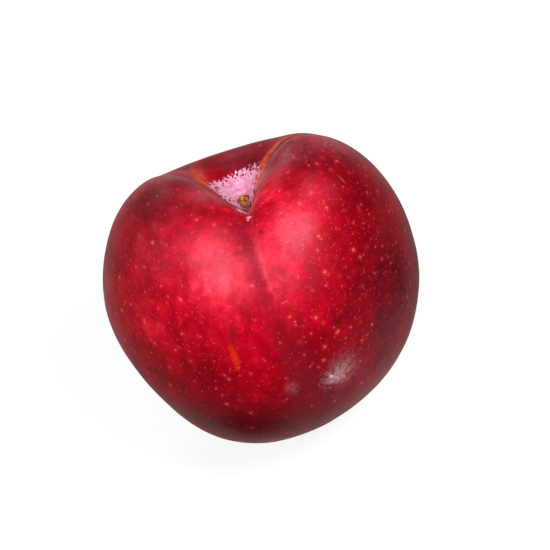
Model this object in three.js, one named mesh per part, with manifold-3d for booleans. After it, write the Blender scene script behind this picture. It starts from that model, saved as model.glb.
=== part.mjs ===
// A ripe red plum that stands on a small flat at its blossom end.
//
// The fruit is one closed body. Every point of its skin is skinRadius(polar, azimuth) from
// the centre: polar runs from the stem scar (0) to the blossom end (180), and azimuth runs
// from the suture's notch (0) towards the right-hand lobe. The body is then turned and
// leaned the way the fruit settles on a table. Millimetres and degrees, +Z up, and the
// suture faces -Y. The origin is on the table, in the middle of the fruit's width and depth.

import * as THREE from 'three';
import { mergeVertices } from 'three/addons/utils/BufferGeometryUtils.js';
import Module from 'manifold-3d';

const { degToRad, smoothstep } = THREE.MathUtils;

// ---- driving dimensions ----

const BODY_RADIUS = 31.25;
const SUTURE_TURN = 8.5; // about the stem, from -Y towards +X
const LEAN_BACK = 12.2; // of the stem, towards +Y
const LEAN_LEFT = 10; // of the stem, towards -X
const FLAT_DEPTH = 0.55; // taken off the bottom where the fruit rests

// Broad swells of the skin, or hollows where the height is negative.
const SWELLS = {
  leftShoulder: { azimuth: -54, polar: 37.5, spread: 26.5, height: 5.7 },
  rightShoulder: { azimuth: 65.5, polar: 38, spread: 33, height: 3.6 },
  lowBackRim: { azimuth: 203, polar: 19, spread: 28, height: -3.7 },
  leftFlank: { azimuth: -78, polar: 118, spread: 29, height: -2.2 },
  rightFlank: { azimuth: 31, polar: 156, spread: 42, height: -3.6 },
  blossomEnd: { azimuth: 0, polar: 180, spread: 40, height: 3.6 },
};

// The stem cavity: a steep bowl, wider behind the scar, with a funnel at its bottom.
const CAVITY = {
  depth: 6.8,
  width: 20.3,
  steepness: 3.7,
  reachBack: 0.38, // part of the width added towards backAzimuth
  backAzimuth: 205,
  oval: 0.12, // part of the width added both ways along ovalAzimuth
  ovalAzimuth: 184,
  funnelDepth: 1.4,
  funnelWidth: 14,
};

// Furrows that run out of the cavity over its rim, each along its own azimuth.
const FURROWS = {
  suture: { azimuth: 0, polar: 18.5, reach: 15.8, depth: 9, width: 2.6, soft: 0.7 },
  sutureDip: { azimuth: -17, polar: 15, reach: 14.2, depth: 6.3, width: 4.8, soft: 2.5 },
  notch: { azimuth: -4, polar: 9.5, reach: 8, depth: 4.1, width: 2, soft: 0.9 },
  backRight: { azimuth: 110, polar: 18.5, reach: 10.5, depth: 0.8, width: 1.8, soft: 0.8 },
};

// The shallow crease that carries the suture on down the body.
const CREASE = { depth: 0.55, width: 2.6, soft: 0.8, drift: 10 };

// The cavity's floor, level across the stem's axis however deep the furrows run into it.
// Height is from the body's centre, and the floor is looked for as far out as its reach.
const CAVITY_FLOOR = { height: 16.8, soft: 0.5, reach: 40 };

// The corky scar that the stalk left: a squarish pad let into the cavity's back slope. Its
// middle lies behind the stem's axis, it faces up and forward, and it is turned in its plane.
const SCAR = { back: 0.87, height: 18.95, tilt: 52, turn: 40, halfSize: 1.15, squareness: 6, reach: 20 };

// Facets: rings crowd towards the stem, and sectors towards the suture.
const RINGS = 46;
const SECTORS = 64;
const RING_CROWDING = 1.5;
const SECTOR_CROWDING = 0.5;

// ---- the skin's shape ----

// Cosine of the angle between a direction and the one at the given azimuth and polar.
function cosineTo(polar, azimuth, target) {
  const p = degToRad(polar);
  const q = degToRad(target.polar);
  const turn = degToRad(azimuth - target.azimuth);
  return Math.sin(p) * Math.sin(q) * Math.cos(turn) + Math.cos(p) * Math.cos(q);
}

// 1 on the crease's line, falling away exponentially, with a rounded bottom.
function creaseProfile(distance, width, soft) {
  return Math.exp(-(Math.hypot(distance, soft) - soft) / width);
}

function swellHeight(polar, azimuth, swell) {
  const spread = degToRad(swell.spread);
  return swell.height * Math.exp((-2 * (1 - cosineTo(polar, azimuth, swell))) / spread ** 2);
}

function cavityDepth(polar, azimuth) {
  const back = CAVITY.reachBack * Math.cos(degToRad(azimuth - CAVITY.backAzimuth));
  const oval = CAVITY.oval * Math.cos(2 * degToRad(azimuth - CAVITY.ovalAzimuth));
  const width = CAVITY.width * (1 + back + oval);
  const bowl = CAVITY.depth * Math.exp(-((polar / width) ** CAVITY.steepness));
  return bowl + CAVITY.funnelDepth * Math.exp(-((polar / CAVITY.funnelWidth) ** 2));
}

function furrowDepth(polar, azimuth, furrow) {
  if (polar > 90) {
    return 0;
  }
  const turn = degToRad(azimuth - furrow.azimuth);
  const along = (polar * Math.cos(turn) - furrow.polar) / furrow.reach;
  const across = degToRad(polar) * BODY_RADIUS * Math.sin(turn);
  return furrow.depth * creaseProfile(across, furrow.width, furrow.soft) * Math.exp(-along * along);
}

function creaseDepth(polar, azimuth) {
  const line = CREASE.drift * smoothstep(polar, 30, 130);
  const turn = THREE.MathUtils.euclideanModulo(azimuth - line + 180, 360) - 180;
  const across = BODY_RADIUS * Math.sin(degToRad(polar)) * degToRad(turn);
  const fade = smoothstep(polar, 8, 28) * (1 - smoothstep(polar, 60, 170));
  return CREASE.depth * fade * creaseProfile(across, CREASE.width, CREASE.soft);
}

// Keeps the skin above the cavity's floor, with a soft join.
function aboveFloor(polar, radius) {
  const { height, soft, reach } = CAVITY_FLOOR;
  const level = height / Math.cos(degToRad(Math.min(polar, reach)));
  return level + soft * Math.log1p(Math.exp((radius - level) / soft));
}

// Takes the skin to the scar's plane, inside the scar's outline.
function withScar(polar, azimuth, radius) {
  if (polar > SCAR.reach) {
    return radius;
  }
  const ray = new THREE.Vector3().setFromSphericalCoords(1, degToRad(polar), degToRad(azimuth));
  const sin = Math.sin(degToRad(SCAR.tilt));
  const cos = Math.cos(degToRad(SCAR.tilt));
  const plane = (SCAR.height * cos - SCAR.back * sin) / (ray.y * cos + ray.z * sin);
  const across = plane * ray.x;
  const upSlope = (plane * ray.y - SCAR.height) * sin - (plane * ray.z + SCAR.back) * cos;
  const place = new THREE.Vector2(across, upSlope).rotateAround(new THREE.Vector2(), degToRad(SCAR.turn));
  place.divideScalar(SCAR.halfSize);
  const edge = Math.abs(place.x) ** SCAR.squareness + Math.abs(place.y) ** SCAR.squareness;
  return radius + (plane - radius) * Math.exp(-edge);
}

function skinRadius(polar, azimuth) {
  let radius = BODY_RADIUS - cavityDepth(polar, azimuth) - creaseDepth(polar, azimuth);
  for (const swell of Object.values(SWELLS)) {
    radius += swellHeight(polar, azimuth, swell);
  }
  for (const furrow of Object.values(FURROWS)) {
    radius -= furrowDepth(polar, azimuth, furrow);
  }
  return withScar(polar, azimuth, aboveFloor(polar, radius));
}

function skinPoint(polar, azimuth) {
  const direction = new THREE.Vector3().setFromSphericalCoords(1, degToRad(polar), degToRad(azimuth));
  const radius = skinRadius(polar, azimuth);
  return [radius * direction.x, -radius * direction.z, radius * direction.y];
}

// ---- the body ----

function bodyGeometry() {
  const positions = [...skinPoint(0, 0)];
  for (let ring = 1; ring < RINGS; ring += 1) {
    const polar = 180 * (ring / RINGS) ** RING_CROWDING;
    for (let sector = 0; sector < SECTORS; sector += 1) {
      const turn = sector / SECTORS;
      const crowding = (SECTOR_CROWDING * Math.sin(2 * Math.PI * turn)) / (2 * Math.PI);
      positions.push(...skinPoint(polar, 360 * (turn - crowding)));
    }
  }
  positions.push(...skinPoint(180, 0));

  const at = (ring, sector) => 1 + (ring - 1) * SECTORS + (sector % SECTORS);
  const last = 1 + (RINGS - 1) * SECTORS;
  const index = [];
  for (let sector = 0; sector < SECTORS; sector += 1) {
    index.push(0, at(1, sector), at(1, sector + 1));
    for (let ring = 1; ring < RINGS - 1; ring += 1) {
      index.push(at(ring, sector), at(ring + 1, sector), at(ring + 1, sector + 1));
      index.push(at(ring, sector), at(ring + 1, sector + 1), at(ring, sector + 1));
    }
    index.push(at(RINGS - 1, sector), last, at(RINGS - 1, sector + 1));
  }

  const geometry = new THREE.BufferGeometry();
  geometry.setAttribute('position', new THREE.Float32BufferAttribute(positions, 3));
  geometry.setIndex(index);
  return geometry;
}

// Turns and leans the body, then stands it so that its rest plane is at z = 0.
function settle(geometry) {
  geometry.rotateZ(degToRad(SUTURE_TURN));
  geometry.rotateX(degToRad(-LEAN_BACK));
  geometry.rotateY(degToRad(-LEAN_LEFT));
  geometry.computeBoundingBox();
  const { min, max } = geometry.boundingBox;
  geometry.translate(-(min.x + max.x) / 2, -(min.y + max.y) / 2, -min.z - FLAT_DEPTH);
  return geometry;
}

// ---- the flat that it rests on ----

const wasm = await Module();
wasm.setup();

function toManifold(geometry) {
  const bare = geometry.clone();
  bare.deleteAttribute('normal');
  bare.deleteAttribute('uv');
  const merged = mergeVertices(bare);
  const mesh = new wasm.Mesh({
    numProp: 3,
    vertProperties: Float32Array.from(merged.attributes.position.array),
    triVerts: Uint32Array.from(merged.index.array),
  });
  return new wasm.Manifold(mesh);
}

function fromManifold(solid) {
  const mesh = solid.getMesh();
  const geometry = new THREE.BufferGeometry();
  geometry.setAttribute('position', new THREE.BufferAttribute(mesh.vertProperties, 3));
  geometry.setIndex(new THREE.BufferAttribute(mesh.triVerts, 1));
  geometry.computeVertexNormals();
  return geometry;
}

function withFlat(geometry) {
  const side = 4 * BODY_RADIUS;
  const below = new THREE.BoxGeometry(side, side, side).translate(0, 0, -side / 2);
  return fromManifold(toManifold(geometry).subtract(toManifold(below)));
}

const skin = new THREE.MeshStandardMaterial({ color: 0x9e1226, roughness: 0.35, metalness: 0 });

const body = new THREE.Mesh(withFlat(settle(bodyGeometry())), skin);
body.name = 'plum_body';

const plum = new THREE.Group();
plum.add(body);

export default plum;
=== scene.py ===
"""A ripe red plum on a white table, under soft studio light.

The fruit's skin is skin_radius(polar, azimuth) from its centre, as in the part's source:
polar runs from the stem scar (0 degrees) to the blossom end (180), and azimuth from the
suture's notch (0) towards the right-hand shoulder. The shape is worked out in millimetres
and degrees in the fruit's own frame, then turned and leaned the way the fruit rests, and
scaled to metres.
"""

import bpy
import numpy as np
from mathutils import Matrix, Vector, noise


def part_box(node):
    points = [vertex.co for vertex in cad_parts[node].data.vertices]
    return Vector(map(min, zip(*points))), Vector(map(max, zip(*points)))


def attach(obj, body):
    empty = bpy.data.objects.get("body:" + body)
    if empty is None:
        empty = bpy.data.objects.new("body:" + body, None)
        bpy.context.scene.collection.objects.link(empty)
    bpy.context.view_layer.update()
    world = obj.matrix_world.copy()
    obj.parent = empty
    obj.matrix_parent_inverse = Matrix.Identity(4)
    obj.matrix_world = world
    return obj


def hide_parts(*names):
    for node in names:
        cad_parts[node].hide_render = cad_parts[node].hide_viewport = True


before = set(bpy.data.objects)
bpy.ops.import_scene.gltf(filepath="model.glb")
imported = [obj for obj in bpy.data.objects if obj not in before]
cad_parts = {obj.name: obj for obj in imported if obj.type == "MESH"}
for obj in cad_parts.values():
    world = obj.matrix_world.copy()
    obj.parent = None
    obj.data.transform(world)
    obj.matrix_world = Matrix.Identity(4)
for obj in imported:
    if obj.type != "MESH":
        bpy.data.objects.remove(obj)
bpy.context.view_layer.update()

MM = 0.001

# ---- the skin's shape: the same driving dimensions as the CAD part ----

BODY_RADIUS = 31.25
SUTURE_TURN = 8.5  # about the stem, from -Y towards +X
LEAN_BACK = 12.2  # of the stem, towards +Y
LEAN_LEFT = 10.0  # of the stem, towards -X
FLAT_DEPTH = 0.55  # taken off the bottom where the fruit rests

# name: azimuth, polar, spread (degrees), height (mm)
SWELLS = {
    "left_shoulder": (-54, 37.5, 26.5, 5.7),
    "right_shoulder": (65.5, 38, 33, 3.6),
    "low_back_rim": (203, 19, 28, -3.7),
    "left_flank": (-78, 118, 29, -2.2),
    "right_flank": (31, 156, 42, -3.6),
    "blossom_end": (0, 180, 40, 3.6),
}

CAVITY_DEPTH = 6.8
CAVITY_WIDTH = 20.3
CAVITY_STEEPNESS = 3.7
CAVITY_REACH_BACK = 0.38
CAVITY_BACK_AZIMUTH = 205
CAVITY_OVAL = 0.12
CAVITY_OVAL_AZIMUTH = 184
FUNNEL_DEPTH = 1.4
FUNNEL_WIDTH = 14

# name: azimuth, polar, reach (degrees), depth, width, softness (mm)
FURROWS = {
    "suture": (0, 18.5, 15.8, 9.0, 2.6, 0.7),
    "suture_dip": (-17, 15, 14.2, 6.3, 4.8, 2.5),
    "notch": (-4, 9.5, 8, 4.1, 2.0, 0.9),
    "back_right": (110, 18.5, 10.5, 0.8, 1.8, 0.8),
}

CREASE_DEPTH = 0.55
CREASE_WIDTH = 2.6
CREASE_SOFT = 0.8
CREASE_DRIFT = 10  # degrees of azimuth that the suture's line gains down the body

CAVITY_FLOOR = 16.8  # height of the cavity's level floor above the centre
FLOOR_SOFT = 0.5
FLOOR_REACH = 40  # degrees from the stem

# The squarish scar that the stalk left: its middle's place behind and above the centre, its
# lean forward and its turn in its own plane in degrees, and half its side.
SCAR_BACK = 0.87
SCAR_HEIGHT = 18.95
SCAR_TILT = 52
SCAR_TURN = 40
SCAR_HALF = 1.15
SCAR_SQUARENESS = 6
SCAR_REACH = 20  # degrees from the stem

RINGS = 300
SECTORS = 328
RING_CROWDING = 1.5


def smoothstep(value, low, high):
    t = np.clip((value - low) / (high - low), 0, 1)
    return t * t * (3 - 2 * t)


def cosine_to(polar, azimuth, target_azimuth, target_polar):
    """Cosine of the angle between each skin direction and a target direction."""
    p, q = np.radians(polar), np.radians(target_polar)
    turn = np.radians(azimuth - target_azimuth)
    return np.sin(p) * np.sin(q) * np.cos(turn) + np.cos(p) * np.cos(q)


def bell(polar, azimuth, target_azimuth, target_polar, spread):
    """1 at the target direction, falling away smoothly over the spread."""
    cosine = cosine_to(polar, azimuth, target_azimuth, target_polar)
    return np.exp(-2 * (1 - cosine) / np.radians(spread) ** 2)


def crease_profile(distance, width, soft):
    return np.exp(-(np.hypot(distance, soft) - soft) / width)


def cavity_width(azimuth):
    back = CAVITY_REACH_BACK * np.cos(np.radians(azimuth - CAVITY_BACK_AZIMUTH))
    oval = CAVITY_OVAL * np.cos(2 * np.radians(azimuth - CAVITY_OVAL_AZIMUTH))
    return CAVITY_WIDTH * (1 + back + oval)


def cavity_depth(polar, azimuth):
    bowl = CAVITY_DEPTH * np.exp(-((polar / cavity_width(azimuth)) ** CAVITY_STEEPNESS))
    return bowl + FUNNEL_DEPTH * np.exp(-((polar / FUNNEL_WIDTH) ** 2))


def furrow_depth(polar, azimuth, centre_azimuth, centre_polar, reach, depth, width, soft):
    turn = np.radians(azimuth - centre_azimuth)
    along = (polar * np.cos(turn) - centre_polar) / reach
    across = np.radians(polar) * BODY_RADIUS * np.sin(turn)
    shape = crease_profile(across, width, soft) * np.exp(-along * along)
    return np.where(polar > 90, 0, depth * shape)


def suture_offset(polar, azimuth):
    """Distance in mm from the suture's line, positive towards the right-hand shoulder."""
    line = CREASE_DRIFT * smoothstep(polar, 30, 130)
    turn = (azimuth - line + 180) % 360 - 180
    return BODY_RADIUS * np.sin(np.radians(polar)) * np.radians(turn)


def crease_depth(polar, azimuth):
    fade = smoothstep(polar, 8, 28) * (1 - smoothstep(polar, 60, 170))
    profile = crease_profile(suture_offset(polar, azimuth), CREASE_WIDTH, CREASE_SOFT)
    return CREASE_DEPTH * fade * profile


def above_floor(polar, radius):
    """Keeps the skin above the cavity's floor, with a soft join."""
    level = CAVITY_FLOOR / np.cos(np.radians(np.minimum(polar, FLOOR_REACH)))
    return level + FLOOR_SOFT * np.logaddexp(0, (radius - level) / FLOOR_SOFT)


def scar_plane(polar, azimuth):
    """Where each skin direction meets the scar's plane: the radius, and mm along the scar's two sides."""
    p, a = np.radians(np.minimum(polar, SCAR_REACH)), np.radians(azimuth)
    forward, right, up = np.sin(p) * np.cos(a), np.sin(p) * np.sin(a), np.cos(p)
    tilt, turn = np.radians(SCAR_TILT), np.radians(SCAR_TURN)
    height = SCAR_HEIGHT * np.cos(tilt) - SCAR_BACK * np.sin(tilt)
    plane = height / (up * np.cos(tilt) + forward * np.sin(tilt))
    across = plane * right
    up_slope = (plane * up - SCAR_HEIGHT) * np.sin(tilt) - (plane * forward + SCAR_BACK) * np.cos(tilt)
    u = across * np.cos(turn) - up_slope * np.sin(turn)
    v = across * np.sin(turn) + up_slope * np.cos(turn)
    return plane, u, v


def with_scar(polar, azimuth, radius):
    plane, u, v = scar_plane(polar, azimuth)
    edge = np.abs(u / SCAR_HALF) ** SCAR_SQUARENESS + np.abs(v / SCAR_HALF) ** SCAR_SQUARENESS
    inside = np.where(polar > SCAR_REACH, 0, np.exp(-edge))
    return radius + (plane - radius) * inside


def skin_radius(polar, azimuth):
    radius = BODY_RADIUS - cavity_depth(polar, azimuth) - crease_depth(polar, azimuth)
    for swell_azimuth, swell_polar, spread, height in SWELLS.values():
        radius = radius + height * bell(polar, azimuth, swell_azimuth, swell_polar, spread)
    for furrow in FURROWS.values():
        radius = radius - furrow_depth(polar, azimuth, *furrow)
    return with_scar(polar, azimuth, above_floor(polar, radius))


def turn_about(axis, degrees):
    """Rotation matrix about x, y or z."""
    c, s = np.cos(np.radians(degrees)), np.sin(np.radians(degrees))
    a, b = {"x": (1, 2), "y": (2, 0), "z": (0, 1)}[axis]
    matrix = np.eye(3)
    matrix[a, a] = matrix[b, b] = c
    matrix[a, b], matrix[b, a] = -s, s
    return matrix


RESTING = turn_about("y", -LEAN_LEFT) @ turn_about("x", -LEAN_BACK) @ turn_about("z", SUTURE_TURN)


def skin_grid():
    """Polar and azimuth in degrees of every vertex: the stem pole, the rings, the blossom pole."""
    rings = 180 * (np.arange(1, RINGS) / RINGS) ** RING_CROWDING
    sectors = 360 * np.arange(SECTORS) / SECTORS
    polar = np.concatenate([[0], np.repeat(rings, SECTORS), [180]])
    azimuth = np.concatenate([[0], np.tile(sectors, RINGS - 1), [0]])
    return polar, azimuth


def skin_faces():
    last = 1 + (RINGS - 1) * SECTORS
    faces = []
    for sector in range(SECTORS):
        after = (sector + 1) % SECTORS
        faces.append((0, 1 + sector, 1 + after))
        for ring in range(RINGS - 2):
            near, far = 1 + ring * SECTORS, 1 + (ring + 1) * SECTORS
            faces.append((near + sector, far + sector, far + after, near + after))
        rim = 1 + (RINGS - 2) * SECTORS
        faces.append((rim + sector, last, rim + after))
    return faces


# Fine relief that the CAD body leaves out.
UNDULATIONS = [(9.0, 0.10), (3.5, 0.035)]  # wavelength and height in mm
FOLD_HEIGHT = 0.09  # of the fine folds that run up the cavity's wall
FOLDS_ROUND = 7  # the larger, the more of them there are
FOLD_LENGTH = 12  # degrees
FOLDS_MIDDLE = 17  # degrees from the stem
FOLDS_SPREAD = 9
GRAIN_HEIGHT = 0.12  # of the scar's cork
GRAIN_SIZE = 0.45
GRAIN_REACH = 0.95  # part of the scar's half side


def noise_at(points):
    """Smooth noise from -1 to 1 at each point."""
    return np.array([noise.noise(point) for point in points.tolist()])


def fine_relief(polar, azimuth, ray):
    """Height in mm of the skin's gentle undulations, the cavity's folds and the scar's grain."""
    height = np.zeros_like(polar)
    for wavelength, depth in UNDULATIONS:
        height += depth * noise_at(ray * BODY_RADIUS / wavelength)
    turn = np.radians(azimuth)
    around = [FOLDS_ROUND * np.cos(turn), FOLDS_ROUND * np.sin(turn), polar / FOLD_LENGTH]
    on_wall = np.exp(-(((polar - FOLDS_MIDDLE) / FOLDS_SPREAD) ** 2))
    height += FOLD_HEIGHT * noise_at(np.stack(around, axis=1)) * on_wall
    _, u, v = scar_plane(polar, azimuth)
    inside = (polar < SCAR_REACH) & (np.maximum(np.abs(u), np.abs(v)) < GRAIN_REACH * SCAR_HALF)
    grain = noise_at(np.stack([u, v, np.zeros_like(polar)], axis=1) / GRAIN_SIZE)
    return height + np.where(inside, GRAIN_HEIGHT * grain, 0)


def skin_vertices(polar, azimuth):
    """Vertices in metres where the CAD body stands, cut flat at its bottom, and the body's centre."""
    p, a = np.radians(polar), np.radians(azimuth)
    ray = np.stack([np.sin(p) * np.sin(a), -np.sin(p) * np.cos(a), np.cos(p)], axis=1)
    radius = skin_radius(polar, azimuth)
    points = (radius[:, None] * ray) @ RESTING.T
    low, high = points.min(axis=0), points.max(axis=0)
    cad_low, cad_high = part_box("plum_body")
    middle = (np.array(cad_low) + np.array(cad_high)) / 2
    shift = middle / MM - (low + high) / 2
    shift[2] = cad_low.z / MM - low[2] - FLAT_DEPTH
    points = points + (fine_relief(polar, azimuth, ray)[:, None] * ray) @ RESTING.T + shift
    points[:, 2] = np.maximum(points[:, 2], cad_low.z / MM)
    return points * MM, Vector(shift * MM)


def add_attribute(mesh, name, values):
    kind, field = ("FLOAT_VECTOR", "vector") if values.ndim == 2 else ("FLOAT", "value")
    attribute = mesh.attributes.new(name, kind, "POINT")
    attribute.data.foreach_set(field, np.ascontiguousarray(values, dtype=np.float32).ravel())


def make_plum():
    """The fruit and its body's centre."""
    polar, azimuth = skin_grid()
    vertices, centre = skin_vertices(polar, azimuth)
    mesh = bpy.data.meshes.new("plum")
    mesh.from_pydata(vertices.tolist(), [], skin_faces())
    mesh.shade_smooth()
    for name, values in skin_attributes(polar, azimuth).items():
        add_attribute(mesh, name, values)
    plum = bpy.data.objects.new("plum", mesh)
    bpy.context.scene.collection.objects.link(plum)
    return plum, centre


# ---- where the skin's colours lie ----

# Every table of patches gives azimuth, polar, spread (degrees) and the strength in the middle.

SIDE_RED = 0.34  # how much red light the skin gives back away from the patches, which paint in light and shade as well as the skin's own tone

# Partly the skin's own tone and partly painted light and shade: brighter red where the highlights lie and
# on shaded lips and walls of the cavity, darker red in the hollows, down the sides and underneath.
RED_AND_PAINTED_LIGHT_PATCHES = {
    "left_glow": (-20, 60, 14, 0.47),
    "left_glow_above": (-20, 49, 16, 0.11),
    "left_glow_side": (-37, 58, 11, 0.07),
    "left_glow_below": (-18, 68, 8, 0.09),
    "right_glow": (26, 46, 15, 0.42),
    "right_glow_below": (4, 53, 12, 0.34),
    "below_glow": (6, 73, 12, 0.29),
    "left_flank": (-56, 70, 21, 0.25),
    "left_flank_above": (-44, 52, 11, 0.18),
    "left_flank_below": (-39, 74, 7, 0.23),
    "left_hollow": (-38, 65, 9, -0.21),
    "left_flank_hollow": (-50, 69, 5, -0.09),
    "right_hollow": (38, 64, 8, -0.12),
    "right_of_suture": (20, 61, 6, -0.12),
    "left_of_suture": (-8, 57, 4, -0.06),
    "belly": (-9, 84, 9, 0.22),
    "belly_below": (-9, 101, 11, 0.24),
    "suture_low": (1, 80, 6, -0.14),
    "beside_suture_low": (10, 84, 6, -0.08),
    "suture_foot": (-5, 93, 6, 0.12),
    "left_of_belly": (-29, 98, 6, 0.15),
    "below_belly": (-17, 113, 6, 0.08),
    "left_low_edge": (-68, 83, 12, 0.13),
    "left_rim": (-31, 26, 7, 0.16),
    "left_wall": (-143, 23, 6, 0.26),
    "back_wall": (-168, 22, 5, 0.20),
    "right_rim": (58, 26, 9, -0.13),
    "right_inner_lip": (22, 22, 5, 0.34),
    "back": (180, 38, 30, -0.10),
    "right_side": (57, 84, 17, -0.18),
    "right_edge": (76, 66, 10, 0.04),
    "right_shoulder": (59, 50, 11, -0.12),
    "right_shoulder_top": (54, 41, 5, 0.09),
    "left_shoulder": (-50, 37, 15, -0.16),
    "beside_notch": (7, 41, 5, -0.11),
    "right_lobe_top": (28, 39, 4, -0.13),
    "right_lip": (13, 30, 6, 0.46),
    "right_lip_edge": (25, 30, 4, -0.12),
    "lip_foot": (9, 26, 4, 0.30),
    "low_right": (38, 97, 10, -0.10),
    "underside": (-14, 118, 24, -0.22),
}

# Where a waxy bloom pales the skin, and where pale haze is painted as light: highlights on the lobes, and
# haze on shaded lips and along the outline.
BLOOM_AND_HIGHLIGHT_PATCHES = {
    "front": (8, 56, 12, 0.45),
    "left_lobe": (-14, 55, 9, 0.72),
    "left_lobe_above": (-18, 48, 9, 0.25),
    "right_lobe": (19, 47, 6, 1.5),
    "right_lobe_top": (38, 38, 7, 0.35),
    "left_side": (-45, 50, 13, 0.25),
    "left_shoulder": (-52, 31, 10, 0.15),
    "left_top": (-72, 25, 7, 0.9),
    "left_back": (-136, 31, 7, 0.7),
    "left_lip": (-28, 27.5, 5, 1.2),
    "right_inner_lip": (28, 19.5, 5, 1.0),
    "right_rim": (62, 22, 6, 0.60),
    "right_top": (89, 34, 10, 0.8),
    "left_low_edge": (-71, 91, 10, 0.50),
    "left_foot": (-49, 115, 9, 0.45),
    "back_rim": (172, 33, 10, 0.40),
    "low_right": (34, 112, 14, 0.45),
    "right_side": (52, 96, 14, 0.24),
}

# Where the gloss wax is worn off.
DULL_PATCHES = {
    "cavity_back": (176, 25, 13, 0.85),
    "below_notch": (-3, 46, 9, 0.80),
    "right_lip": (34, 28, 7, 0.70),
    "beside_notch": (12, 36, 7, 0.70),
    "left_shoulder": (-50, 32, 9, 0.60),
    "belly": (-10, 88, 28, 0.62),
    "suture_foot": (9, 86, 7, 0.50),
    "left_hollow": (-36, 66, 8, 0.60),
    "right_lobe_side": (35, 48, 7, 0.65),
    "right_side": (52, 79, 13, 0.60),
    "underside": (-17, 122, 12, 0.60),
}

# Where the red thins to a warmer orange-red.
WARM_PATCHES = {
    "left_flank": (-48, 74, 16, 0.9),
    "belly": (-11, 87, 9, 0.4),
}

DOT_SHARE = 0.50  # how many of the places for a pore hold one
DOT_PATCHES = {
    "right_side": (48, 56, 28, 0.38),
    "left_flank": (-46, 72, 20, 0.45),
    "left_shoulder": (-45, 36, 18, -0.30),
    "low_right": (42, 100, 20, 0.30),
    "suture": (-2, 72, 12, -0.30),
    "cavity": (190, 20, 20, -0.90),
    "underside": (0, 118, 26, -0.38),
}

# Paths in the plane around the stem: degrees towards the suture, degrees towards the right.
RIGHT_STREAK = [(-1, 8), (-5.5, 9.8), (-8.5, 11.4), (-13.1, 12.7), (-14.2, 15), (-14.6, 19), (-13, 24)]
LEFT_STREAK = [(2, -12.5), (-7, -17), (-14, -17.5), (-24, -17.5), (-38, -17)]


def distance_to_path(x, y, path):
    """Distance from the path, and how far along it the nearest point is."""
    nearest, reached, walked = np.full_like(x, np.inf), np.zeros_like(x), 0.0
    for (x0, y0), (x1, y1) in zip(path, path[1:]):
        dx, dy = x1 - x0, y1 - y0
        length = np.hypot(dx, dy)
        along = np.clip(((x - x0) * dx + (y - y0) * dy) / length**2, 0, 1)
        distance = np.hypot(x - x0 - along * dx, y - y0 - along * dy)
        reached = np.where(distance < nearest, walked + along * length, reached)
        nearest = np.minimum(nearest, distance)
        walked += length
    return nearest, reached


def patches(polar, azimuth, table):
    """The sum of a table's patches at each skin direction."""
    bells = [height * bell(polar, azimuth, *place) for *place, height in table.values()]
    return np.sum(bells, axis=0)


def unrolled(polar, azimuth):
    """Places on the skin as mm to the right of the suture's meridian and mm down from the stem."""
    turn = (azimuth + 180) % 360 - 180
    right = BODY_RADIUS * np.sin(np.radians(polar)) * np.radians(turn)
    return right, BODY_RADIUS * np.radians(polar)


FAR_FROM_SCAR = 9  # mm, for all the skin beyond the scar's reach


def skin_attributes(polar, azimuth):
    """Per-vertex fields that the skin's material reads."""
    turn = np.radians(azimuth)
    to_suture, to_right = polar * np.cos(turn), polar * np.sin(turn)
    right_streak, right_along = distance_to_path(to_suture, to_right, RIGHT_STREAK)
    left_streak, left_along = distance_to_path(to_suture, to_right, LEFT_STREAK)
    _, u, v = scar_plane(polar, azimuth)
    away = np.where(polar > SCAR_REACH, FAR_FROM_SCAR, 0)
    level = np.zeros_like(polar)
    return {
        "red_and_painted_light": SIDE_RED + patches(polar, azimuth, RED_AND_PAINTED_LIGHT_PATCHES),
        "bloom_and_highlight": patches(polar, azimuth, BLOOM_AND_HIGHLIGHT_PATCHES),
        "dullness": patches(polar, azimuth, DULL_PATCHES),
        "warmth": patches(polar, azimuth, WARM_PATCHES),
        "dot_share": DOT_SHARE + patches(polar, azimuth, DOT_PATCHES),
        "polar": polar,
        "suture_offset": suture_offset(polar, azimuth),
        "scar_place": np.stack([u, v, away], axis=1),
        "right_streak": np.stack([right_streak, right_along, level], axis=1),
        "left_streak": np.stack([left_streak, left_along, level], axis=1),
        "around_stem": np.stack([to_suture, to_right, level], axis=1),
        "unrolled": np.stack([*unrolled(polar, azimuth), level], axis=1),
        "meridians": np.stack([np.cos(turn), np.sin(turn), polar / 90], axis=1),
    }


# ---- materials ----


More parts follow.
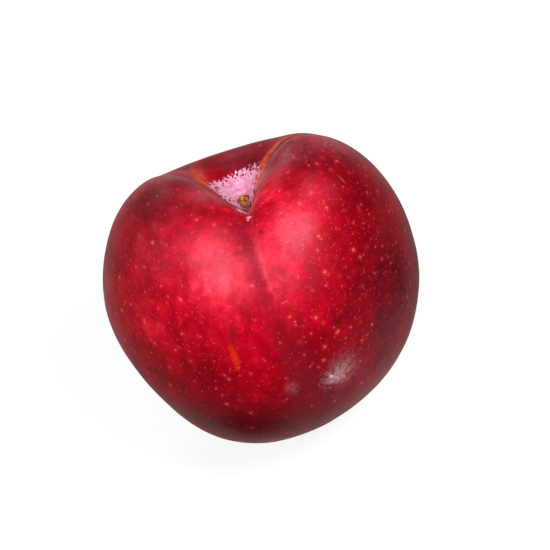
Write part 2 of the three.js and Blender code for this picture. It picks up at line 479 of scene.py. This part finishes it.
class Graph:
    """Adds shader nodes to one node tree. All methods but feed return output sockets."""

    def __init__(self, tree):
        self.nodes = tree.nodes
        self.links = tree.links

    def feed(self, socket, value):
        """Links an output socket to an input, or sets a plain value there."""
        if isinstance(value, bpy.types.NodeSocket):
            self.links.new(value, socket)
        else:
            socket.default_value = value

    def add(self, kind, output, inputs=None, **settings):
        node = self.nodes.new("ShaderNode" + kind)
        for name, value in settings.items():
            setattr(node, name, value)
        for name, value in (inputs or {}).items():
            self.feed(node.inputs[name], value)
        return node.outputs[output]

    def attribute(self, name, output="Fac"):
        return self.add("Attribute", output, attribute_name=name)

    def split(self, name):
        """The first two numbers of a vector attribute."""
        x = self.add("SeparateXYZ", 0, {0: self.attribute(name, "Vector")})
        return x, x.node.outputs[1]

    def math(self, operation, a, b=0.0):
        return self.add("Math", 0, {0: a, 1: b}, operation=operation)

    def product(self, first, *others):
        for other in others:
            first = self.math("MULTIPLY", first, other)
        return first

    def scaled(self, vector, factors):
        return self.add("VectorMath", 0, {0: vector, 1: factors}, operation="MULTIPLY")

    def length(self, vector):
        return self.add("VectorMath", "Value", {0: vector}, operation="LENGTH")

    def noise(self, vector, scale, detail=2.0, roughness=0.5):
        inputs = {"Vector": vector, "Scale": scale, "Detail": detail, "Roughness": roughness}
        return self.add("TexNoise", 0, inputs)

    def step(self, value, low, high, to_low=0.0, to_high=1.0):
        """A smooth step from to_low, below low, to to_high, above high."""
        inputs = {"Value": value, "From Min": low, "From Max": high}
        inputs.update({"To Min": to_low, "To Max": to_high})
        return self.add("MapRange", 0, inputs, interpolation_type="SMOOTHSTEP")

    def mix(self, factor, a, b, blend="MIX"):
        """Mixes two colours."""
        return self.add("Mix", 2, {0: factor, 6: a, 7: b}, data_type="RGBA", blend_type=blend)

    def colour(self, red, green, blue):
        return self.add("CombineColor", 0, {0: red, 1: green, 2: blue})

    def varied(self, pattern, amount):
        """A factor around 1 that follows a pattern of noise."""
        return self.step(pattern, 0.3, 0.7, 1 - amount, 1 + amount)


class Paint(Graph):
    """The node tree of one new material, with its shader and the place on the object."""

    def __init__(self, name):
        self.material = bpy.data.materials.new(name)
        self.material.use_nodes = True
        super().__init__(self.material.node_tree)
        self.shader = self.nodes["Principled BSDF"]
        self.position = self.add("TexCoord", "Object")

    def mottling(self, scale, detail=2.0, roughness=0.5):
        """Noise over the skin: the larger the scale, the finer it is."""
        return self.noise(self.position, scale, detail, roughness)

    def uneven(self, value, scale, amount):
        """The value with fine noise added, to break up an edge."""
        wobble = self.step(self.mottling(scale, 3, 0.6), 0.25, 0.75, -amount, amount)
        return self.math("ADD", value, wobble)


MIDDLE_GREY = (0.5, 0.5, 0.5, 1)  # what a pattern of noise averages


def red_and_painted_light(paint):
    """The red patches, which hold painted light and shade, with soft blotches of three sizes, streaks down
    the sides and fine lines round the shoulders.
    """
    meridians = paint.attribute("meridians", "Vector")
    polar = paint.attribute("polar")
    streaks = paint.noise(paint.scaled(meridians, (1, 1, 0.45)), 17, 4, 0.6)
    streaks = paint.mix(paint.step(polar, 42, 66), MIDDLE_GREY, streaks)
    lines = paint.noise(paint.scaled(meridians, (0.35, 0.35, 7)), 7, 4, 0.65)
    lines = paint.mix(paint.step(polar, 30, 46, 1.0, 0.0), MIDDLE_GREY, lines)
    return paint.product(
        paint.attribute("red_and_painted_light"),
        paint.varied(paint.mottling(120, 2), 0.22),
        paint.varied(paint.mottling(340, 3, 0.6), 0.17),
        paint.varied(paint.mottling(1500, 2, 0.6), 0.07),
        paint.varied(streaks, 0.12),
        paint.varied(lines, 0.18),
    )


def red_skin(paint):
    """Nearly pure red, a little pinker where it is brightest, which stands in part for a painted highlight,
    and warmer on the left flank.
    """
    red = red_and_painted_light(paint)
    blotches = paint.step(paint.mottling(330, 3, 0.6), 0.45, 0.7)
    warm = paint.product(paint.attribute("warmth"), blotches)
    green = paint.math("MULTIPLY", paint.math("POWER", red, 5.0), 0.02)
    blue = paint.math("MULTIPLY", paint.math("POWER", red, 3.0), 0.05)
    green = paint.math("ADD", green, paint.math("MULTIPLY", warm, 0.007))
    red = paint.math("ADD", red, paint.math("MULTIPLY", warm, 0.15))
    return paint.colour(red, green, paint.math("ADD", blue, 0.007))


BAND_RED = (0.28, 0.006, 0.028, 1)
LOW_BAND_RED = (0.25, 0.009, 0.022, 1)
SUTURE_LINE = (0.95, 0.16, 0.22, 1)


def suture_band(paint, colour):
    """A soft dark band left of the suture that widens down the side, and a pale line in the suture."""
    offset = paint.uneven(paint.attribute("suture_offset"), 500, 0.5)
    polar = paint.attribute("polar")
    band = paint.product(
        paint.step(offset, -4.6, -1.8),
        paint.step(offset, -1.2, 0.0, 1.0, 0.0),
        paint.step(polar, 34, 44, 0.0, 0.60),
        paint.step(polar, 60, 82, 1.0, 0.0),
    )
    colour = paint.mix(band, colour, BAND_RED)
    lower = paint.product(
        paint.step(offset, -4.6, -2.6),
        paint.step(offset, 0.5, 5.5, 1.0, 0.0),
        paint.step(polar, 64, 90, 0.0, 0.55),
        paint.step(polar, 100, 125, 1.0, 0.3),
    )
    colour = paint.mix(lower, colour, LOW_BAND_RED)
    line = paint.product(
        paint.step(paint.math("ABSOLUTE", offset), 0.0, 0.6, 1.0, 0.0),
        paint.step(polar, 46, 54, 0.0, 0.25),
        paint.step(polar, 60, 70, 1.0, 0.0),
    )
    return paint.mix(line, colour, SUTURE_LINE)


BLOOM_AND_HIGHLIGHT_HAZE = (0.08, 0.055, 0.075, 1)  # what the bloom and the painted highlights add to the colour under it


def bloom_and_highlight(paint, colour):
    """A thin pale wax with painted highlights in it, wiped unevenly."""
    wiped = paint.varied(paint.mottling(300, 4, 0.65), 0.5)
    amount = paint.product(paint.attribute("bloom_and_highlight"), wiped)
    return paint.mix(amount, colour, BLOOM_AND_HIGHLIGHT_HAZE, "ADD")


# Cell and radius (mm), how much larger a share of the cells holds one than for the largest,
# and what the pore's core and the glow around it add to the colour.
DOTS = [
    (2.3, 0.30, 0.00, (0.34, 0.11, 0.085, 1), (0.16, 0.012, 0.010, 1)),
    (1.5, 0.21, 0.08, (0.28, 0.09, 0.070, 1), (0.09, 0.007, 0.006, 1)),
    (1.0, 0.15, 0.22, (0.20, 0.065, 0.055, 1), (0.04, 0.004, 0.004, 1)),
    (0.7, 0.11, 0.45, (0.17, 0.065, 0.058, 1), (0.02, 0.002, 0.002, 1)),
]


def dots(paint, colour):
    """Pale pores of four sizes, each in a soft glow."""
    share = paint.attribute("dot_share")
    for cell, radius, more, core, glow in DOTS:
        distance = paint.add("TexVoronoi", "Distance", {"Vector": paint.position, "Scale": 1 / (cell * MM)})
        random = paint.add("SeparateColor", 0, {0: distance.node.outputs["Color"]})
        present = paint.step(paint.math("SUBTRACT", share, random), -more, 0.05 - more)
        size = paint.step(random.node.outputs[1], 0, 1, 0.5 * radius / cell, 1.15 * radius / cell)
        away = paint.math("DIVIDE", distance, size)
        around = paint.product(paint.step(away, 0.8, 3.0, 1.0, 0.0), present)
        within = paint.product(paint.step(away, 0.4, 1.2, 1.0, 0.0), present)
        colour = paint.mix(around, colour, glow, "ADD")
        colour = paint.mix(within, colour, core, "ADD")
    return colour


# Name, width and where along its path it starts and stops fading (degrees), strength.
STREAKS = [("right_streak", 2.2, 16, 30, 0.95), ("left_streak", 2.0, 10, 40, 0.90)]
DEEP_ORANGE = (0.80, 0.055, 0.010, 1)
LIGHT_ORANGE = (0.95, 0.16, 0.018, 1)


def orange_streaks(paint, colour):
    """The ground colour that shows through in two streaks out of the cavity."""
    for name, width, start, end, strength in STREAKS:
        distance, along = paint.split(name)
        distance = paint.math("DIVIDE", distance, paint.step(along, 0, 12, 0.6, 1.0))
        distance = paint.uneven(distance, 700, 0.8)
        streak = paint.product(
            paint.step(distance, 0.3 * width, 1.7 * width, strength, 0.0),
            paint.step(along, start, end, 1.0, 0.15),
            paint.step(paint.mottling(1100, 3, 0.6), 0.3, 0.6, 0.55, 1.0),
        )
        mottled = paint.step(paint.mottling(600, 3, 0.6), 0.4, 0.65)
        orange = paint.mix(mottled, DEEP_ORANGE, LIGHT_ORANGE)
        colour = paint.mix(streak, colour, orange)
    return colour


# In the plane around the stem, in degrees: towards the suture, and towards the right.
PATCH_MIDDLE = (-8.6, -1.5, 0)
PATCH_REACH = (13.6, 13.8)
SPECK_SIZE = (2.0, 1.1)
# Colours of the pink patch around the scar, which is partly bare skin and partly a painted reflection of
# light on the cavity's glossy floor.
PINK = (0.98, 0.25, 0.50, 1)
PALE_PINK = (0.99, 0.62, 0.80, 1)


def cavity_patch_and_reflection(paint):
    """1 on the pink patch around the scar, partly bare skin and partly a painted reflection, broken into
    specks towards its edge.
    """
    around = paint.attribute("around_stem", "Vector")
    place = paint.add("VectorMath", 0, {0: around, 1: PATCH_MIDDLE}, operation="SUBTRACT")
    radius = paint.length(paint.scaled(place, (1 / PATCH_REACH[0], 1 / PATCH_REACH[1], 0)))
    cells = paint.scaled(around, (1 / SPECK_SIZE[0], 1 / SPECK_SIZE[1], 1))
    ragged = paint.step(paint.noise(cells, 0.7, 4, 0.7), 0.25, 0.75, -0.16, 0.16)
    patch = paint.step(paint.math("ADD", radius, ragged), 0.98, 1.02, 1.0, 0.0)
    speck = paint.add("TexVoronoi", "Distance", {"Vector": cells, "Scale": 1.0})
    random = paint.add("SeparateColor", 0, {0: speck.node.outputs["Color"]})
    reach = paint.product(paint.step(radius, 0.3, 1.0, 0.05, 0.55), paint.step(random, 0.1, 0.7, 0.3, 1.1))
    return paint.product(patch, paint.step(paint.math("SUBTRACT", speck, reach), -0.05, 0.05))


def pink_skin_and_reflection(paint, patch, colour):
    """Pink skin and painted reflection, mottled, and paler towards the left and the front."""
    to_suture, to_right = paint.split("around_stem")
    towards = paint.step(paint.math("SUBTRACT", to_suture, to_right), -8, 14, 0.0, 0.9)
    mottled = paint.step(paint.mottling(900, 4, 0.65), 0.42, 0.66)
    pink = paint.mix(paint.math("MAXIMUM", mottled, towards), PINK, PALE_PINK)
    return paint.mix(patch, colour, pink)


DARK_CORK = (0.20, 0.016, 0.004, 1)
OCHRE_CORK = (1.0, 0.40, 0.06, 1)
CORK_EDGE = (0.14, 0.022, 0.008, 1)


def scar(paint, colour):
    """Ochre cork with dark swirls and a brown edge. Distances are mm from the scar's middle."""
    place = paint.attribute("scar_place", "Vector")
    parts = paint.add("SeparateXYZ", 0, {0: paint.add("VectorMath", 0, {0: place}, operation="ABSOLUTE")})
    u, v, outside = parts.node.outputs
    square = paint.math("ADD", paint.math("POWER", u, 4.0), paint.math("POWER", v, 4.0))
    distance = paint.math("ADD", paint.math("POWER", square, 0.25), outside)
    distance = paint.uneven(distance, 1500, 0.07)
    grain = paint.noise(paint.scaled(place, (1.0, 0.6, 1)), 2.0, 3, 0.6)
    cork = paint.mix(paint.step(grain, 0.42, 0.56), DARK_CORK, OCHRE_CORK)
    cork = paint.mix(paint.step(distance, 0.82, 1.02), cork, CORK_EDGE)
    return paint.mix(paint.step(distance, 1.01, 1.13, 1.0, 0.0), colour, cork)


# Name: azimuth, polar (degrees), half width, half length (mm), turn (degrees).
MARKS = {
    "orange_fleck": (-15.0, 85.3, 0.62, 2.5, -6),
    "dark_crack": (-14.0, 77.6, 0.45, 2.5, 10),
    "red_spot": (4.0, 44.2, 0.5, 0.5, 0),
    "scratch": (6.1, 69.3, 0.75, 0.09, -14),
    "shoulder_scratch": (54.7, 41.5, 0.14, 1.0, -30),
    # The three wax smears are thick wax with a painted highlight on it, and the glint after them is a
    # painted highlight.
    "wax_highlight_smear": (22.0, 102.5, 3.6, 4.8, 35),
    "wax_highlight_core": (19.6, 104.0, 2.6, 1.9, 0),
    "wax_highlight_smear_below": (2.7, 103, 1.7, 2.0, 0),
    "glint": (17.8, 102.6, 0.30, 0.26, 0),
    "pinhole": (16.1, 102.6, 0.24, 0.26, 0),
    "brown_speck": (246.2, 19.3, 0.45, 0.45, 0),
    # The next three are painted light: a pale streak on the shaded right wall of the notch, then pale
    # highlights at the notch's lip.
    "painted_light_wall": (52, 11.4, 1.0, 2.3, 0),
    "highlight_speck": (-0.5, 37.1, 0.40, 0.55, 0),
    "highlight_flecks": (-4.2, 32.3, 0.75, 0.6, 20),
    "russet": (-36, 124, 2.6, 7.0, -43),
    "dark_sliver": (-62, 99.6, 1.5, 3.4, -25),
}

# Name: colour, strength, and how soft and how ragged the edge is, in the order of painting.
BLEMISHES_AND_PAINTED_LIGHT = {
    "orange_fleck": ((0.84, 0.034, 0.007, 1), 0.8, 0.6, 0.4),
    "dark_crack": ((0.12, 0.012, 0.014, 1), 0.55, 0.9, 0.7),
    "red_spot": ((0.22, 0.004, 0.010, 1), 0.6, 0.6, 0.5),
    "scratch": ((0.85, 0.30, 0.28, 1), 0.45, 0.4, 0.2),
    "shoulder_scratch": ((0.55, 0.22, 0.22, 1), 0.35, 0.4, 0.2),
    "brown_speck": ((0.10, 0.02, 0.006, 1), 0.8, 0.4, 0.2),
    # The next three are painted light: a pale streak on the shaded right wall of the notch, then pale
    # highlights at the notch's lip.
    "painted_light_wall": ((0.98, 0.45, 0.48, 1), 0.6, 0.9, 0.5),
    "highlight_speck": ((0.95, 0.42, 0.54, 1), 0.8, 0.4, 0.9),
    "highlight_flecks": ((0.96, 0.50, 0.64, 1), 0.9, 0.2, 1.1),
    "russet": ((0.13, 0.04, 0.036, 1), 0.7, 0.5, 0.6),
    "dark_sliver": ((0.09, 0.016, 0.014, 1), 0.6, 0.6, 0.5),
}
# Over the wax: a dark pinhole, and the glint, a painted highlight.
BLEMISHES_AND_GLINT_ON_WAX = {
    "pinhole": ((0.05, 0.005, 0.012, 1), 0.8, 0.4, 0.2),
    "glint": ((0.95, 0.88, 0.90, 1), 0.95, 0.4, 0.2),
}

# Name: strength.
# Thick wax, painted pale as a highlight too.
WAX_HIGHLIGHT_SMEARS = {"wax_highlight_smear": 0.36, "wax_highlight_core": 0.64, "wax_highlight_smear_below": 0.12}
THICK_WAX_AND_HIGHLIGHT = (0.90, 0.52, 0.57, 1)


def mark(paint, name, ragged):
    """Distance from a mark's middle: 1 on its oval edge."""
    azimuth, polar, half_width, half_length, turn = MARKS[name]
    inputs = {
        "Vector": paint.attribute("unrolled", "Vector"),
        "Location": (*unrolled(polar, azimuth), 0),
        "Rotation": (0, 0, np.radians(turn)),
        "Scale": (half_width, half_length, 1),
    }
    return paint.uneven(paint.length(paint.add("Mapping", 0, inputs, vector_type="TEXTURE")), 1300, ragged)


def blemishes_and_painted_light(paint, colour, table):
    """Each mark, from full strength in its middle to nothing past its edge."""
    for name, (tint, strength, soft, ragged) in table.items():
        amount = paint.step(mark(paint, name, ragged), 1 - soft, 1 + soft, strength, 0.0)
        colour = paint.mix(amount, colour, tint)
    return colour


def wax_highlight_smears(paint, colour):
    """Patches of thick wax with fine grains in them, painted pale as a highlight too."""
    grains = paint.step(paint.mottling(1600, 4, 0.75), 0.35, 0.65, 0.4, 1.5)
    for name, strength in WAX_HIGHLIGHT_SMEARS.items():
        amount = paint.product(paint.step(mark(paint, name, 0.3), -0.4, 1.4, strength, 0.0), grains)
        colour = paint.mix(amount, colour, THICK_WAX_AND_HIGHLIGHT)
    return colour


def small_marks(paint, colour):
    colour = blemishes_and_painted_light(paint, colour, BLEMISHES_AND_PAINTED_LIGHT)
    colour = wax_highlight_smears(paint, colour)
    return blemishes_and_painted_light(paint, colour, BLEMISHES_AND_GLINT_ON_WAX)


SKIN_WAX = 0.16  # weight of the glossy coat on the skin
PATCH_WAX = 0.60  # and on the pink patch around the scar, partly a painted reflection
PORE_DEPTH = 0.03  # mm

# What is the same all over the skin. The coat gives all of the gloss.
FINISH = {
    "Roughness": 0.6,
    "Specular IOR Level": 0.0,
    "Coat Roughness": 0.36,
    "Sheen Weight": 0.14,
    "Sheen Roughness": 0.28,
    "Sheen Tint": (1.0, 0.85, 0.82, 1),
}


def skin_material():
    """All the colours, a thin glossy coat, and a little sheen for the wax's haze at the outline."""
    paint = Paint("plum_skin")
    colour = red_skin(paint)
    colour = bloom_and_highlight(paint, colour)
    colour = suture_band(paint, colour)
    colour = dots(paint, colour)
    patch = cavity_patch_and_reflection(paint)
    colour = pink_skin_and_reflection(paint, patch, colour)
    colour = orange_streaks(paint, colour)
    colour = small_marks(paint, colour)
    colour = scar(paint, colour)
    paint.feed(paint.shader.inputs["Base Color"], colour)
    for name, value in FINISH.items():
        paint.feed(paint.shader.inputs[name], value)
    wax = paint.step(paint.attribute("dullness"), 0, 1, SKIN_WAX, 0.0)
    paint.feed(paint.shader.inputs["Coat Weight"], paint.step(patch, 0, 1, wax, PATCH_WAX))
    relief = {"Height": paint.mottling(1400, 3, 0.6), "Strength": 0.25, "Distance": PORE_DEPTH * MM}
    paint.feed(paint.shader.inputs["Normal"], paint.add("Bump", 0, relief))
    return paint.material


# ---- floor and backdrop ----

FLOOR_SIZE = 6
FLOOR_GREY = (0.22, 0.22, 0.22, 1)
FLOOR_GLOW = 0.86  # what the floor shows of its own to the camera, before the lamps add the rest


def background_light(graph):
    """1 for the rays that should see the white background, 0 for those that light the fruit."""
    rays = graph.add("LightPath", "Is Camera Ray").node.outputs
    seen = graph.math("MAXIMUM", rays["Is Camera Ray"], rays["Is Glossy Ray"])
    return graph.math("MAXIMUM", seen, rays["Is Transmission Ray"])


def make_floor():
    bpy.ops.mesh.primitive_plane_add(size=FLOOR_SIZE)
    floor = bpy.context.object
    floor.name = "floor"
    material = bpy.data.materials.new("white_table")
    material.use_nodes = True
    graph = Graph(material.node_tree)
    graph.nodes.clear()
    matt = graph.add("BsdfDiffuse", 0, {"Color": FLOOR_GREY})
    glow = graph.product(background_light(graph), FLOOR_GLOW)
    lit = graph.add("Emission", 0, {"Strength": glow})
    output = graph.nodes.new("ShaderNodeOutputMaterial")
    graph.feed(output.inputs["Surface"], graph.add("AddShader", 0, {0: matt, 1: lit}))
    floor.data.materials.append(material)


WORLD_LIGHT = 0.1  # on the fruit, from every side
BACKDROP_LIGHT = 1.0
HORIZON_TOP = 0.12  # sine of the elevation up to which the backdrop is white
HORIZON_FADE = 0.15  # how much further up the white is gone


def make_world():
    """Dim all round, with a white backdrop up to a little above the horizon."""
    world = bpy.data.worlds.new("studio")
    bpy.context.scene.world = world
    world.use_nodes = True
    graph = Graph(world.node_tree)
    height = graph.add("SeparateXYZ", "Z", {0: graph.add("TexCoord", "Generated")})
    fade = graph.step(height, HORIZON_TOP, HORIZON_TOP + HORIZON_FADE, 1.0, 0.0)
    backdrop = graph.product(fade, background_light(graph))
    strength = graph.add("Mix", "Result", {"Factor": backdrop, "A": WORLD_LIGHT, "B": BACKDROP_LIGHT})
    background = graph.nodes["Background"]
    graph.feed(background.inputs["Color"], (1, 1, 1, 1))
    graph.feed(background.inputs["Strength"], strength)


# ---- camera and lamps ----

CAMERA_ELEVATION = 40
CAMERA_DISTANCE = 0.48
CAMERA_LENS = 159
CAMERA_SENSOR = 36
CAMERA_NEAR = 0.01
AIM_RIGHT = 2.77 * MM  # past the fruit's centre
AIM_UP = 2.57 * MM

# Name: which way it lies, to the right, up and back as the camera sees it, size (m), power (W).
LAMPS = {
    "near_lamp": ((-0.20, -0.06, 0.98), 0.22, 3.9),
    "upper_lamp": ((0.33, 0.39, 0.86), 0.22, 3.9),
    "back_lamp": ((-0.4, 0.88, -0.26), 0.3, 3.0),
}
LAMP_DISTANCE = 0.9


def view_axes():
    """The directions to the right, up and back towards the camera, as the camera sees them."""
    e = np.radians(CAMERA_ELEVATION)
    right = Vector((1, 0, 0))
    up = Vector((0, np.sin(e), np.cos(e)))
    back = Vector((0, -np.cos(e), np.sin(e)))
    return right, up, back


def make_camera(centre):
    right, up, back = view_axes()
    camera = bpy.data.objects.new("camera", bpy.data.cameras.new("camera"))
    bpy.context.scene.collection.objects.link(camera)
    camera.data.lens = CAMERA_LENS
    camera.data.sensor_width = CAMERA_SENSOR
    camera.data.clip_start = CAMERA_NEAR
    camera.location = centre + CAMERA_DISTANCE * back
    aim = centre + AIM_RIGHT * right + AIM_UP * up
    camera.rotation_euler = (aim - camera.location).to_track_quat("-Z", "Y").to_euler()
    bpy.context.scene.camera = camera


def make_lamp(name, centre, towards, size, watts):
    """A square lamp that faces the fruit."""
    right, up, back = view_axes()
    direction = (towards[0] * right + towards[1] * up + towards[2] * back).normalized()
    lamp = bpy.data.objects.new(name, bpy.data.lights.new(name, "AREA"))
    bpy.context.scene.collection.objects.link(lamp)
    lamp.data.size = size
    lamp.data.energy = watts
    lamp.location = centre + LAMP_DISTANCE * direction
    lamp.rotation_euler = (-direction).to_track_quat("-Z", "Y").to_euler()


def main():
    plum, centre = make_plum()
    plum.data.materials.append(skin_material())
    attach(plum, "root")
    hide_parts("plum_body")
    make_floor()
    make_world()
    make_camera(centre)
    for name, (towards, size, watts) in LAMPS.items():
        make_lamp(name, centre, towards, size, watts)
    bpy.context.scene.view_settings.view_transform = "Standard"


main()
